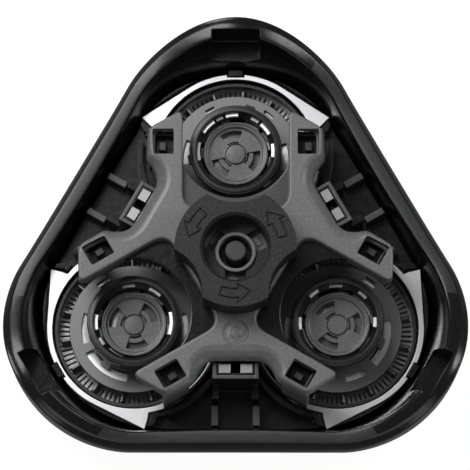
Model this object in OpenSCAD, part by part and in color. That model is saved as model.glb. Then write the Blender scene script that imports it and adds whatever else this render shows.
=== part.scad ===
// Rotary shaver head: a rounded three-sided housing with three tilting, spinning cutter heads,
// lying face down, so that the back with its retaining frame and lock disc looks up.
// Origin: on the head's axis, in the plane of the three shaving faces. +Z towards the open back,
// +Y towards the corner that holds head a.

/* [Housing] */
// Room between a guard and the middle of a side
side_room = 7.05; // [6:0.05:8]
// Room between a guard and the rounded corner beside it
corner_room = 7.45; // [6.6:0.05:8.6]
// Height of the rim at the middle of a side
rim_side_z = 8.6; // [8:0.1:9.5]
// Height of the rim at a corner
rim_corner_z = 13.5; // [12.5:0.1:14.5]
// How sharply the rim climbs towards a corner
rim_climb = 4.6; // [3:0.1:6]
// Width of the flat strip on the rim
rim_strip = 1.5; // [1:0.1:2]
// Distance from the rim strip out to the widest line of the wall
rim_roll = 1.3; // [1:0.1:1.6]
// Thickness of the housing's front wall
front_wall = 1.4; // [1.2:0.1:1.8]
// Height of the housing's front face above the shaving faces
face_proud = 0.7; // [0.6:0.05:0.9]
// Radius of the plain round pad at the middle of the front
pad_r = 3.6; // [3:0.1:4.2]
// Thickness of every stiffening rib
rib_t = 0.9; // [0.7:0.1:1.1]

/* [Inner carrier] */
// Thickness of the carrier's floor
floor_t = 0.9; // [0.7:0.1:1.1]
// Wall of the ring that carries each bezel plate
seat_wall = 1.3; // [1.1:0.1:1.4]
// Height of the ring above the carrier's floor
seat_h = 0.8; // [0.7:0.1:1]
// Height of the curved wall beside each head, above the carrier's floor
collar_h = 3.6; // [2.5:0.1:4.5]
// Thickness of the curved wall beside each head
collar_t = 0.7; // [0.5:0.1:0.9]
// Radius of the central column
column_r = 4; // [3.4:0.1:4.4]
// Clearance between a bezel plate and the corner of a clip tower
tower_clear = 0.57; // [0.4:0.01:0.9]
// Width of a clip tower
tower_w = 6.6; // [6:0.1:7.2]
// Depth of a clip tower
tower_d = 2.4; // [2.2:0.1:2.8]
// Height of the top of a clip tower
tower_z = 12; // [10.5:0.1:12.2]

/* [Heads] */
// Room between the middle of the housing and the nearest side of a guard
centre_room = 5.4; // [4.8:0.1:6]
// Width of a guard outside the blade disc
guard_band = 2.1; // [1.9:0.05:2.4]
// Height of a cutter guard's skirt
guard_h = 2; // [1.9:0.05:2.1]
// Thickness of a guard's slotted shaving face
guard_face_t = 0.35; // [0.25:0.05:0.4]
// Thickness of a guard's skirt
guard_skirt_t = 0.35; // [0.25:0.05:0.4]
// Number of slots in the outer track
outer_slots = 90; // [60:2:96]
// Number of slots in the inner track
inner_slots = 60; // [40:2:66]
// Width of a slot
slot_w = 0.28; // [0.2:0.02:0.32]
// Height of the pivot ring above a guard's skirt
pivot_ring_h = 1.3; // [1.2:0.05:1.5]
// Wall of the pivot ring
pivot_ring_t = 0.5; // [0.4:0.05:0.55]
// Radius of a pivot pin
pivot_pin_r = 0.5; // [0.4:0.05:0.55]

/* [Cutters] */
// Width of the blade disc outside the collar
disc_band = 2.7; // [2.4:0.05:3.1]
// Thickness of the blade disc
disc_t = 0.35; // [0.25:0.05:0.45]
// Height of the blade disc above the shaving face
disc_z = 3.5; // [3.4:0.05:3.7]
// Number of blades on the disc
blades = 15; // [9:1:18]
// Thickness of a blade
blade_t = 0.4; // [0.3:0.05:0.5]
// Space between a drive hub and the collar round it
hub_space = 1; // [0.8:0.05:1.2]
// Height of the collar
collar_ring_h = 5.4; // [4.8:0.1:5.8]
// Width of the ring at the collar's top
collar_ring_w = 1; // [0.8:0.05:1.1]
// Thickness of the ring at the collar's top
collar_ring_t = 0.9; // [0.7:0.05:1.2]
// Running gap between a drive hub and the collar's foot
foot_gap = 0.45; // [0.35:0.05:0.6]
// Wall of the collar's foot
foot_wall = 0.55; // [0.45:0.05:0.65]
// Outer radius of a drive hub
hub_r = 4.7; // [4.2:0.05:5.2]
// Height of a drive hub's rim
hub_z = 7.2; // [6.8:0.05:7.6]
// Width of a drive hub's rim
hub_rim = 0.55; // [0.45:0.05:0.65]
// Depth of the dish inside the rim
dish_depth = 1.1; // [1:0.05:1.3]
// Depth of the three drive recesses below the dish
recess_depth = 1.2; // [0.8:0.05:1.4]
// Radius of the button at the hub's middle
button_r = 1.4; // [1.2:0.05:1.5]
// Radius of the bearing pin at a guard's middle
bearing_r = 1; // [0.8:0.05:1.1]

/* [Bezel plates] */
// Width of a bezel plate's ring
bezel_w = 0.77; // [0.7:0.01:0.9]
// Thickness of a bezel plate
bezel_t = 0.5; // [0.4:0.05:0.6]
// How far a wing tip stands out sideways past the ring
wing_past = 1.03; // [0.8:0.01:1.2]
// Outward reach of a wing tip from the head's middle
wing_y = 6.1; // [5.8:0.05:6.4]
// Width of the locating notch
notch_w = 2.6; // [2.2:0.1:3]
// Depth of the locating notch
notch_d = 0.45; // [0.35:0.05:0.5]

/* [Retaining frame] */
// Height of the retaining frame's top
frame_z = 15; // [14.6:0.1:15.4]
// Thickness of the retaining frame's top
frame_t = 1.3; // [1.1:0.1:1.5]
// Width of a prong
prong_w = 4.85; // [4.8:0.05:5.1]
// Distance from a bezel plate's edge in to a prong's outer side
prong_inset = 0.07; // [0.02:0.01:0.12]
// How far a prong's pointed tip lies past the head's middle
tip_past = 4.9; // [4.5:0.1:5.3]
// How far the shoulder of a prong's tip lies past the head's middle
shoulder_past = 2.1; // [1.9:0.1:2.5]
// Distance from a clip tower in to the hollow between two forks
hollow_margin = 0.9; // [0.8:0.05:1.1]
// Half width of the hollow between two forks
hollow_half = 6.3; // [6:0.05:6.5]
// Radius of the hollow's corners
hollow_round = 3.4; // [3:0.1:3.8]
// Radius of the web's edge in a fork, round the head
web_r = 8.2; // [7.9:0.05:8.6]
// Width of a window
window_w = 3.2; // [2.8:0.1:3.3]
// Length of a window
window_l = 3.7; // [3.3:0.1:3.9]
// Distance from a prong's outer side in to the middle of a window
window_inset = 2; // [1.9:0.05:2.1]
// Radius of the bearing sleeve
sleeve_r = 2.7; // [2.5:0.05:2.8]
// Wall of the bearing sleeve
sleeve_wall = 0.3; // [0.25:0.05:0.4]

/* [Lock disc] */
// Height of the lock disc above the retaining frame
lock_h = 4.9; // [4.5:0.1:5.3]
// Radius of the lock disc's three lobes
lock_r = 8.7; // [8.4:0.05:9]
// Radius of the three scallops
scallop_r = 7.3; // [7:0.1:7.6]
// Depth of the three scallops
scallop_d = 2.2; // [1.9:0.1:2.5]
// Radius of the well
well_r = 4.7; // [4.5:0.05:4.9]
// Height of the well's floor above the retaining frame
well_h = 1.3; // [1.1:0.05:1.5]
// Width of the three gaps in the well's floor
gap_w = 3; // [2.6:0.1:3.2]
// Radius of the centre post
post_r = 1.5; // [1.3:0.05:1.6]
// Height of the centre post above the well's floor
post_h = 1.1; // [0.7:0.1:1.7]
// Depth of the arrows' outlines
arrow_depth = 0.2; // [0.1:0.05:0.3]
// Width of the arrows' outlines
arrow_line = 0.24; // [0.16:0.02:0.3]

/* [Clearances] */
// Running clearance round a pin or sleeve
run_gap = 0.05; // [0.03:0.01:0.08]
// Free gap round a moving or loose piece
free_gap = 0.3; // [0.25:0.05:0.35]

/* [Hidden] */
$fn = 72;
eps = 0.01;
far = 60;
turns = [0, 120, 240];

// Radii and places, worked out from a drive hub outwards
collar_ring_r = hub_r + hub_space + collar_ring_w;
disc_r = collar_ring_r + disc_band;
guard_r = disc_r + guard_band;
opening_r = guard_r + free_gap;
bezel_r = opening_r + bezel_w;
seat_r = opening_r + seat_wall;
wing_x = bezel_r + wing_past;
head_reach = centre_room + guard_r;
side_reach = head_reach / 2 + guard_r + side_room;
corner_reach = head_reach + guard_r + corner_room;
lock_z = frame_z + lock_h;
well_z = frame_z + well_h;
post_z = well_z + post_h;
tower_reach = head_reach / 2
    + sqrt(pow(bezel_r + tower_clear, 2) - pow(head_reach * sin(60) - tower_w / 2, 2));

// The outline is one formula: three straight sides blended by a power mean,
// whose exponent gives just the corner reach that is asked for.
blend = ln(2) / ln(2 * side_reach / corner_reach);
function side_part(angle, side) = pow(max(0, cos(angle - side)), blend);
function outline(angle) = side_reach
    * pow(side_part(angle, 30) + side_part(angle, 150) + side_part(angle, 270), -1 / blend);
function climb(angle, power) = pow((1 + cos(3 * (angle - 90))) / 2, power);
function rim(angle) = rim_side_z + (rim_corner_z - rim_side_z) * climb(angle, rim_climb);
function ring_point(angle, inward, z) = [
    (outline(angle) - inward) * cos(angle), (outline(angle) - inward) * sin(angle), z
];

carrier_z = face_proud + front_wall;
floor_z = carrier_z + floor_t;
seat_z = floor_z + seat_h;
bezel_top = seat_z + bezel_t;
pivot_z = guard_h + pivot_pin_r + 0.1;
pin_end = seat_r - 0.2;
post_foot = floor_z;
wall_side = rim_roll + rim_strip + 0.9;
wall_corner = rim_roll + rim_strip + 3.3;
function wall_foot(angle) = wall_side + (wall_corner - wall_side) * climb(angle, 1.6);
widest_drop = 2.2;
widest_drop_corner = 0.7;
function widest(angle) = rim(angle) - widest_drop + (widest_drop - widest_drop_corner) * climb(angle, 2);
shell_steps = 90;
shell_angles = [for (i = [0:shell_steps - 1]) i * 360 / shell_steps];
front_edge = 3.4;

// Rings of the shell from the front edge, up the outside, over the rim and down to the floor
function shell_ring(k, a) =
    k == 0 ? ring_point(a, front_edge, face_proud)
    : k == 1 ? ring_point(a, front_edge * 0.45, face_proud + 0.9)
    : k == 2 ? ring_point(a, front_edge * 0.12, face_proud + 2.9)
    : k == 3 ? ring_point(a, 0, widest(a))
    : k == 4 ? ring_point(a, rim_roll * 0.3, rim(a) - (rim(a) - widest(a)) * 0.4)
    : k == 5 ? ring_point(a, rim_roll, rim(a))
    : k == 6 ? ring_point(a, rim_roll + rim_strip, rim(a))
    : k == 7 ? ring_point(a, rim_roll + rim_strip + 0.5, rim(a) - 1.2)
    : ring_point(a, wall_foot(a), carrier_z);
shell_rings = 9;

module shell_body() {
    n = shell_steps;
    polyhedron(
        points = [for (k = [0:shell_rings - 1]) for (a = shell_angles) shell_ring(k, a)],
        faces = [
            [for (i = [0:n - 1]) i],
            for (k = [0:shell_rings - 2]) for (i = [0:n - 1]) each [
                [k * n + i, (k + 1) * n + i, (k + 1) * n + (i + 1) % n],
                [k * n + i, (k + 1) * n + (i + 1) % n, k * n + (i + 1) % n]
            ],
            [for (i = [n - 1:-1:0]) (shell_rings - 1) * n + i]
        ]
    );
}

// Places a shape made round the +Y direction at each of the three heads or sides
module each_head() {
    for (a = turns) rotate([0, 0, a]) children();
}

module each_side() {
    for (a = turns) rotate([0, 0, a + 180]) children();
}

module at_head(index) {
    rotate([0, 0, turns[index]]) translate([0, head_reach, 0]) children();
}

corner_rib_x = 1.4;
corner_rib_y = head_reach + bezel_r + 1.2;
corner_rib_l = corner_reach - corner_rib_y - 3.2;
corner_rib_h = 4.2;
pad_z = face_proud - 0.3;
corner_pocket_w = 7;
side_rib_x = 3;
lip_w = 1.9;

module housing_shell() {
    color([0.07, 0.07, 0.075]) difference() {
        union() {
            shell_body();
            translate([0, 0, pad_z]) cylinder(r = pad_r, h = face_proud - pad_z + 0.1);
            each_head() for (s = [-1, 1])
                translate([s * corner_rib_x - rib_t / 2, corner_rib_y, carrier_z - 0.2])
                    cube([rib_t, corner_rib_l, corner_rib_h]);
        }
        each_head() {
            translate([0, head_reach, -eps]) cylinder(r = opening_r, h = carrier_z + 1);
            translate([-corner_pocket_w / 2, head_reach + bezel_r + 1.4, carrier_z + 4.5])
                cube([corner_pocket_w, corner_reach - lip_w - head_reach - bezel_r - 1.4, rim_corner_z]);
        }
    }
}

// Point where the tangent from a wing tip touches the plate's round outline
function tangent_point(tip, r) = let (a = atan2(tip[1], tip[0]) + acos(r / norm(tip)))
    (r - 0.01) * [cos(a), sin(a)];
wing_end = 1.7;

module wing(grow) {
    tip = [wing_x + grow, wing_y + grow * 0.4];
    low = [wing_x - 1.15 + grow, wing_y - wing_end * 0.7 - grow];
    polygon([tangent_point(tip, bezel_r + grow), [0, bezel_r - 2], [bezel_r - 4, 2], low, tip]);
}

module plate_solid(grow, h) {
    cylinder(r = bezel_r + grow, h = h);
    linear_extrude(h) wing(grow);
    mirror([1, 0, 0]) linear_extrude(h) wing(grow);
}

module bezel_plate(index) {
    color([0.82, 0.82, 0.83]) at_head(index) translate([0, 0, seat_z]) difference() {
        plate_solid(0, bezel_t);
        translate([0, 0, -eps]) cylinder(r = opening_r + 0.05, h = bezel_t + 2 * eps);
        translate([-notch_w / 2, bezel_r - notch_d, -eps]) cube([notch_w, 3, bezel_t + 2 * eps]);
    }
}

nest_gap = 0.35;
nest_wall = 0.6;
nest_lip = 0.4;
nest_from = 3.2;
carrier_margin = 0.25;
collar_in = seat_r + 0.35;
collar_from = 10;
collar_to = 2.2;

// The carrier's floor stops short of the housing's wall all round
module floor_plan() {
    polygon([for (a = shell_angles) [
        (outline(a) - wall_foot(a) - carrier_margin) * cos(a),
        (outline(a) - wall_foot(a) - carrier_margin) * sin(a)
    ]]);
}

module seat_and_nest() {
    intersection() {
        translate([0, 0, carrier_z]) linear_extrude(rim_corner_z) floor_plan();
        union() {
            translate([0, head_reach, carrier_z]) cylinder(r = seat_r, h = seat_z - carrier_z);
            translate([0, head_reach, carrier_z]) plate_solid(nest_gap + nest_wall, seat_z - carrier_z);
            translate([0, head_reach, seat_z - eps]) difference() {
                plate_solid(nest_gap + nest_wall, bezel_t + nest_lip);
                translate([0, 0, -eps]) plate_solid(nest_gap, bezel_t + 1);
                translate([-far / 2, nest_from - far, -1]) cube([far, far, 5]);
            }
        }
    }
    translate([-notch_w / 2 + 0.3, head_reach + bezel_r - notch_d + 0.15, seat_z - eps])
        cube([notch_w - 0.6, notch_d + nest_gap, bezel_t + 0.4]);
}

// Curved walls that stand beside each head, towards the housing's sides
module head_collars() {
    translate([0, head_reach, carrier_z]) difference() {
        cylinder(r = collar_in + collar_t, h = floor_t + collar_h);
        translate([0, 0, -eps]) cylinder(r = collar_in, h = floor_t + collar_h + 1);
        translate([-far / 2, collar_to, -eps]) cube([far, far, 10]);
        translate([-collar_from, -far / 2, -eps]) cube([2 * collar_from, far, 10]);
    }
}

tower_wall = 0.8;

module side_features() {
    translate([-tower_w / 2, tower_reach, carrier_z]) difference() {
        cube([tower_w, tower_d, tower_z - carrier_z]);
        translate([tower_wall, -eps, floor_t + 1])
            cube([tower_w - 2 * tower_wall, tower_d - tower_wall + eps, tower_z]);
    }
    for (s = [-1, 1]) {
        translate([s * side_rib_x - rib_t / 2, side_reach - wall_side - carrier_margin - 3, carrier_z])
            cube([rib_t, 3, floor_t + 2.2]);
        translate([s * (tower_w / 2 - rib_t / 2) - rib_t / 2, tower_reach + tower_d - eps, carrier_z])
            cube([rib_t, 2, floor_t + 4.5]);
    }
}

module inner_carrier() {
    color([0.09, 0.09, 0.1]) difference() {
        union() {
            translate([0, 0, carrier_z]) linear_extrude(floor_t) floor_plan();
            each_head() seat_and_nest();
            each_head() head_collars();
            each_side() side_features();
            translate([0, 0, carrier_z]) difference() {
                cylinder(r = column_r, h = frame_z - frame_t - carrier_z);
                translate([0, 0, floor_t]) cylinder(r = post_r, h = frame_z);
            }
        }
        each_head() {
            translate([0, head_reach, carrier_z - eps]) cylinder(r = opening_r, h = seat_z);
            for (s = [-1, 1]) translate([s * (opening_r - 0.5), head_reach, pivot_z]) {
                rotate([0, s * 90, 0]) cylinder(r = pivot_pin_r + run_gap, h = seat_wall + 0.4);
                translate([min(0, s * (seat_wall + 0.4)), -pivot_pin_r - run_gap, 0])
                    cube([seat_wall + 0.4, 2 * (pivot_pin_r + run_gap), seat_z]);
            }
        }
    }
}
module centre_post() {
    color([0.33, 0.33, 0.34]) {
        translate([0, 0, post_foot]) cylinder(r = post_r, h = post_z - post_foot - 0.15);
        translate([0, 0, post_z - 0.15 - eps]) cylinder(r1 = post_r, r2 = post_r - 0.15, h = 0.15 + eps);
    }
}

track_out = guard_r - guard_skirt_t - 0.25;
track_in = disc_r - 0.1;
inner_track_out = track_in - 0.9;
inner_track_in = inner_track_out - 1.8;

module slots(count, r0, r1) {
    for (i = [0:count - 1]) rotate([0, 0, (i + 0.5) * 360 / count])
        translate([r0, -slot_w / 2, -1]) cube([r1 - r0, slot_w, 2]);
}

module cutter_guard(index) {
    color([0.6, 0.6, 0.62]) at_head(index) difference() {
        union() {
            difference() {
                cylinder(r = guard_r, h = guard_h);
                translate([0, 0, guard_face_t]) cylinder(r = guard_r - guard_skirt_t, h = guard_h);
            }
            cylinder(r = bearing_r, h = 1.9);
            cylinder(r = bearing_r + 0.8, h = 0.8);
        }
        slots(outer_slots, track_in, track_out);
        slots(inner_slots, inner_track_in, inner_track_out);
    }
}

module pivot_ring(index) {
    color([0.1, 0.1, 0.11]) at_head(index) {
        difference() {
            union() {
                translate([0, 0, guard_h]) cylinder(r = guard_r, h = pivot_ring_h);
                for (s = [-1, 1]) translate([s * (guard_r - 0.25), 0, pivot_z])
                    rotate([0, s * 90, 0]) cylinder(r = pivot_pin_r, h = pin_end - guard_r + 0.25);
            }
            translate([0, 0, guard_h - eps]) cylinder(r = guard_r - pivot_ring_t, h = pivot_ring_h + 1);
        }
    }
}

hub_flange_r = collar_ring_r - 0.3;
hub_flange_t = 0.7;
disc_bore = hub_r + run_gap;
blade_reach = guard_r - pivot_ring_t - free_gap;
blade_foot = guard_face_t + 0.05;
blade_top = 2.4;
arc_in = collar_ring_r + 0.35;
arc_out = disc_r - 0.75;
cutter_turns = [12, 68, 35];

// A piece of a ring between two angles, up to a half turn
module arc_band(r0, r1, a0, a1, h) {
    intersection() {
        difference() {
            cylinder(r = r1, h = h);
            translate([0, 0, -eps]) cylinder(r = r0, h = h + 2 * eps);
        }
        linear_extrude(h) polygon([
            [0, 0], 2 * r1 * [cos(a0), sin(a0)],
            2.4 * r1 * [cos((a0 + a1) / 2), sin((a0 + a1) / 2)], 2 * r1 * [cos(a1), sin(a1)]
        ]);
    }
}

module blade_disc(index) {
    color([0.5, 0.5, 0.51]) at_head(index) rotate([0, 0, cutter_turns[index]]) {
        difference() {
            translate([0, 0, disc_z]) cylinder(r = disc_r, h = disc_t);
            translate([0, 0, disc_z - eps]) cylinder(r = disc_bore, h = 1);
            for (a = turns) rotate([0, 0, a]) {
                translate([0, 0, disc_z - 0.5]) arc_band(arc_in, arc_out, 0, 34, 2);
                translate([0, 0, disc_z - 0.5]) arc_band(arc_in + 0.7, arc_out, 52, 76, 2);
            }
        }
        for (i = [0:blades - 1]) rotate([0, 0, i * 360 / blades]) {
            translate([disc_r - 0.6, -blade_t / 2, blade_top - eps])
                cube([0.5, blade_t, disc_z - blade_top + 0.1]);
            translate([disc_r - 0.6, -blade_t / 2, blade_foot])
                cube([blade_reach - disc_r + 0.6, blade_t, blade_top - blade_foot]);
        }
    }
}

foot_r = hub_r + foot_gap + foot_wall;
ring_foot = collar_ring_h - collar_ring_t;
ring_flare = 0.6;
tab_angles = [20, 95, 140, 215, 260, 335];
tab_reach = 0.35;
tab_w = 1.4;
tab_h = 2.6;

module blade_collar(index) {
    color([0.08, 0.08, 0.085]) at_head(index) rotate([0, 0, cutter_turns[index]])
        translate([0, 0, disc_z + disc_t]) {
            rotate_extrude() polygon([
                [foot_r - foot_wall, 0], [foot_r, 0], [foot_r, ring_foot - ring_flare],
                [collar_ring_r, ring_foot], [collar_ring_r, collar_ring_h],
                [collar_ring_r - collar_ring_w, collar_ring_h], [collar_ring_r - collar_ring_w, ring_foot],
                [foot_r - foot_wall, ring_foot - ring_flare]
            ]);
            for (a = tab_angles) rotate([0, 0, a])
                translate([foot_r - foot_wall - tab_reach, -tab_w / 2, 0])
                    cube([tab_reach + foot_wall / 2, tab_w, tab_h]);
            for (a = turns) rotate([0, 0, a + 60]) translate([collar_ring_r - 0.3, -tab_w / 2, ring_foot + 0.1])
                cube([0.6, tab_w, collar_ring_t - 0.3]);
        }
}

dish_r = hub_r - hub_rim;
dish_z = hub_z - dish_depth;
recess_r = dish_r - 0.25;

module drive_hub(index) {
    color([0.2, 0.2, 0.21]) at_head(index) rotate([0, 0, cutter_turns[index]]) difference() {
        union() {
            translate([0, 0, disc_z - hub_flange_t]) cylinder(r = hub_flange_r, h = hub_flange_t);
            translate([0, 0, 1]) cylinder(r = hub_r, h = hub_z - 1.25);
            translate([0, 0, hub_z - 0.26]) cylinder(r1 = hub_r, r2 = hub_r - 0.2, h = 0.26);
        }
        translate([0, 0, dish_z]) cylinder(r = dish_r, h = dish_depth + 1);
        translate([0, 0, dish_z - recess_depth]) for (a = turns) rotate([0, 0, a]) difference() {
            arc_band(button_r + 0.25, recess_r, 60, 120, recess_depth + 1);
            arc_band(button_r + 0.4, button_r + 1.1, 55, 125, recess_depth - 0.05);
        }
        translate([0, 0, dish_z - 0.2]) difference() {
            cylinder(r = button_r + 0.3, h = 1);
            translate([0, 0, -1]) cylinder(r = button_r, h = 3);
        }
        translate([0, 0, 1 - eps]) cylinder(r = bearing_r + run_gap, h = 1 + eps);
    }
}

clip_t = 0.4;
clip_tab = 1.7;
clip_x = tower_w / 2 - tower_wall - clip_tab / 2 - 0.1;

// Spring clip: a folded strip whose two fingers show at the top of the tower
module side_clip(index) {
    color([0.72, 0.72, 0.73]) rotate([0, 0, turns[index] + 180]) {
        translate([tower_wall + 0.1 - tower_w / 2, tower_reach + tower_d - tower_wall - clip_t, floor_z + 1])
            cube([tower_w - 2 * tower_wall - 0.2, clip_t, 3]);
        for (s = [-1, 1]) translate([s * clip_x - clip_tab / 2, tower_reach + 0.3, 0]) {
            translate([0, tower_d - tower_wall - clip_t - 0.3, floor_z + 3])
                cube([clip_tab, clip_t, tower_z - floor_z - 2.8]);
            translate([0, 0, tower_z - 0.2]) cube([clip_tab, tower_d - tower_wall - 0.3, clip_t]);
        }
    }
}

prong_out = bezel_r - prong_inset;
fork_gap = 2 * (prong_out - prong_w);
prong_tip = head_reach + tip_past;
prong_shoulder = head_reach + shoulder_past;
window_x = prong_out - window_inset;
hollow_reach = tower_reach - hollow_margin;
// A prong's outer side starts inside the cut of the hollow
prong_root = (hollow_half - 0.17 + prong_out * sin(30)) / cos(30);
flange_z = frame_z - frame_t - 1.2;
flange_out = 0.9;
prong_bevel = 0.35;
slot_floor = 6.9;
slot_round = 2;
leg_t = prong_out - opening_r - 0.1;
dimple_reach = hollow_reach - 2.8;
leg_half = 2.1;

module frame_outline(grow) {
    polygon([for (a = turns) each [for (p = [
        [prong_out + grow, prong_root - grow], [prong_out + grow, prong_shoulder - prong_bevel],
        [prong_out + grow - prong_bevel, prong_shoulder + grow * 0.5],
        [fork_gap / 2 + 0.2, prong_tip + grow * 0.5],
        [0, prong_tip], [-fork_gap / 2 - 0.2, prong_tip + grow * 0.5],
        [-prong_out - grow + prong_bevel, prong_shoulder + grow * 0.5],
        [-prong_out - grow, prong_shoulder - prong_bevel], [-prong_out - grow, prong_root - grow]
    ]) [p[0] * cos(a) - p[1] * sin(a), p[0] * sin(a) + p[1] * cos(a)]]]);
}

module hollow_cut(shift, h) {
    half = hollow_half - shift * 0.6;
    translate([-half, hollow_reach + shift + hollow_round, 0]) cube([2 * half, 12, h]);
    translate([-half + hollow_round, hollow_reach + shift, 0]) cube([2 * (half - hollow_round), 12, h]);
    for (s = [-1, 1]) translate([s * (half - hollow_round), hollow_reach + shift + hollow_round, 0])
        cylinder(r = hollow_round, h = h);
}

module fork_slot(h) {
    translate([-fork_gap / 2, slot_floor + slot_round, 0]) cube([fork_gap, 25, h]);
    translate([-fork_gap / 2 + slot_round, slot_floor, 0]) cube([fork_gap - 2 * slot_round, 25, h]);
    for (s = [-1, 1]) translate([s * (fork_gap / 2 - slot_round), slot_floor + slot_round, 0])
        cylinder(r = slot_round, h = h);
}

// Web across the closed end of a fork, cut round the head
module fork_web() {
    translate([0, 0, flange_z]) difference() {
        translate([-fork_gap / 2 - eps, slot_floor - eps, 0])
            cube([fork_gap + 2 * eps, head_reach - slot_floor, frame_t]);
        translate([0, head_reach, -eps]) cylinder(r = web_r, h = frame_t + 1);
    }
}

module prong_legs() {
    for (s = [-1, 1]) {
        translate([s > 0 ? prong_out - leg_t : -prong_out, head_reach - leg_half, bezel_top])
            cube([leg_t, 2 * leg_half, frame_z - frame_t - bezel_top + eps]);
        translate([
            s > 0 ? window_x + window_w / 2 : -prong_out, head_reach - leg_half - 1.2, flange_z - 2.4
        ]) cube([prong_out - window_x - window_w / 2, 2 * leg_half + 2.4, frame_t + 2]);
        translate([s * window_x - 0.7, head_reach - window_l / 2 - 1, flange_z - 1]) cube([1.4, 2.8, 0.6]);
        translate([s > 0 ? fork_gap / 2 : -fork_gap / 2 - 0.8, head_reach - 3.6, flange_z - 0.6])
            cube([0.8, 7.2, 1.9]);
        translate([s * window_x - 2.4, head_reach - window_l / 2 - 0.9, flange_z - 1])
            cube([4.8, 0.8, 2.3]);
    }
}

module retaining_frame() {
    color([0.17, 0.17, 0.18]) {
        difference() {
            union() {
                difference() {
                    union() {
                        translate([0, 0, frame_z - frame_t]) linear_extrude(frame_t) frame_outline(0);
                        translate([0, 0, flange_z]) linear_extrude(frame_t + 0.6) difference() {
                            frame_outline(0);
                            circle(r = column_r + 0.3);
                        }
                    }
                    each_side() translate([0, 0, frame_z - frame_t - eps]) hollow_cut(0, 5);
                    each_side() translate([0, 0, flange_z - 1]) hollow_cut(flange_out, 1 + frame_t + 0.6);
                    each_head() translate([0, 0, flange_z - 5]) fork_slot(12);
                    each_head() for (s = [-1, 1])
                        translate([s * window_x - 2.3, head_reach - 2.6, flange_z - 1]) cube([4.6, 6, 2.2]);
                }
                each_head() prong_legs();
                each_head() fork_web();
            }
            each_head() for (s = [-1, 1])
                translate([
                    s * window_x - window_w / 2, head_reach - 0.2 - window_l / 2, frame_z - frame_t - 0.3
                ]) cube([window_w, window_l, 5]);
            translate([0, 0, flange_z - 5]) cylinder(r = sleeve_r - sleeve_wall, h = 12);
            translate([0, -dimple_reach, frame_z - 0.2]) cylinder(r1 = 1.6, r2 = 1.9, h = 0.21);
        }
        translate([0, 0, frame_z - eps]) difference() {
            cylinder(r = sleeve_r, h = well_z + 0.1 - frame_z);
            translate([0, 0, -1]) cylinder(r = sleeve_r - sleeve_wall, h = 5);
        }
        translate([0, 0, well_z + run_gap]) difference() {
            cylinder(r = sleeve_r + 0.25, h = 0.3);
            translate([0, 0, -1]) cylinder(r = sleeve_r - sleeve_wall, h = 5);
        }
        translate([0, -dimple_reach, frame_z - 0.25]) cylinder(r = 0.7, h = 0.2);
        each_side() translate([0, 0, frame_z - eps]) arc_band(3.3, 4.1, 80, 100, 0.35);
    }
}

arrow_r = 6.8;
arrow_half = 18;
arrow_shaft = 0.65;
arrow_head = 1.35;
arrow_head_deg = 15;

// A bent arrow round the axis, its tip at the anticlockwise end
function on_arc(r, a) = [r * cos(a), r * sin(a)];
function arrow_points(grow) = let (g = grow * 57.3 / arrow_r, neck = 90 + arrow_half - arrow_head_deg) [
    for (a = [90 - arrow_half - g:6:neck - g]) on_arc(arrow_r + arrow_shaft + grow, a),
    on_arc(arrow_r + arrow_shaft + grow, neck - g), on_arc(arrow_r + arrow_head + 1.6 * grow, neck - g),
    on_arc(arrow_r, 90 + arrow_half + 1.8 * g),
    on_arc(arrow_r - arrow_head - 1.6 * grow, neck - g), on_arc(arrow_r - arrow_shaft - grow, neck - g),
    for (a = [neck - g - 6:-6:90 - arrow_half - g]) on_arc(arrow_r - arrow_shaft - grow, a),
    on_arc(arrow_r - arrow_shaft - grow, 90 - arrow_half - g)
];

lock_wall = 0.9;
scallop_reach = lock_r + scallop_r - scallop_d;
lock_foot = frame_z + 0.15;
lock_skin = 1.2;

module lobed(r_out, grow, h) {
    difference() {
        cylinder(r = r_out, h = h);
        each_head() translate([0, scallop_reach, -eps]) cylinder(r = scallop_r + grow, h = h + 1);
    }
}

module lock_disc() {
    color([0.16, 0.16, 0.165]) difference() {
        union() {
            translate([0, 0, lock_foot]) difference() {
                lobed(lock_r, 0, lock_z - lock_foot);
                translate([0, 0, -eps])
                    lobed(lock_r - lock_wall, lock_wall, lock_z - lock_foot - lock_skin);
                translate([0, 0, -1]) cylinder(r = well_r, h = 10);
            }
            translate([0, 0, frame_z + 0.45]) difference() {
                cylinder(r = well_r + lock_wall, h = lock_z - frame_z - 1);
                translate([0, 0, -1]) cylinder(r = well_r, h = 10);
            }
            translate([0, 0, frame_z + 0.45]) difference() {
                cylinder(r = well_r + 0.1, h = well_z - frame_z - 0.45);
                translate([0, 0, -1]) cylinder(r = sleeve_r + run_gap, h = 5);
                each_side() translate([-gap_w / 2, 0, -1]) cube([gap_w, 10, 5]);
            }
        }
        each_side() translate([0, 0, lock_z - arrow_depth]) linear_extrude(1) difference() {
            polygon(arrow_points(arrow_line / 2));
            polygon(arrow_points(-arrow_line / 2));
        }
        translate([0, 0, lock_z - 0.4]) cylinder(r1 = well_r - eps, r2 = well_r + 0.4, h = 0.4 + eps);
    }
}

housing_shell();
inner_carrier();
bezel_plate(0);  // bezel_plate_a
bezel_plate(1);  // bezel_plate_b
bezel_plate(2);  // bezel_plate_c
cutter_guard(0);  // cutter_guard_a
cutter_guard(1);  // cutter_guard_b
cutter_guard(2);  // cutter_guard_c
pivot_ring(0);  // pivot_ring_a
pivot_ring(1);  // pivot_ring_b
pivot_ring(2);  // pivot_ring_c
blade_disc(0);  // blade_disc_a
blade_disc(1);  // blade_disc_b
blade_disc(2);  // blade_disc_c
blade_collar(0);  // blade_collar_a
blade_collar(1);  // blade_collar_b
blade_collar(2);  // blade_collar_c
drive_hub(0);  // drive_hub_a
drive_hub(1);  // drive_hub_b
drive_hub(2);  // drive_hub_c
side_clip(0);  // side_clip_a
side_clip(1);  // side_clip_b
side_clip(2);  // side_clip_c
retaining_frame();
centre_post();
lock_disc();
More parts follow.
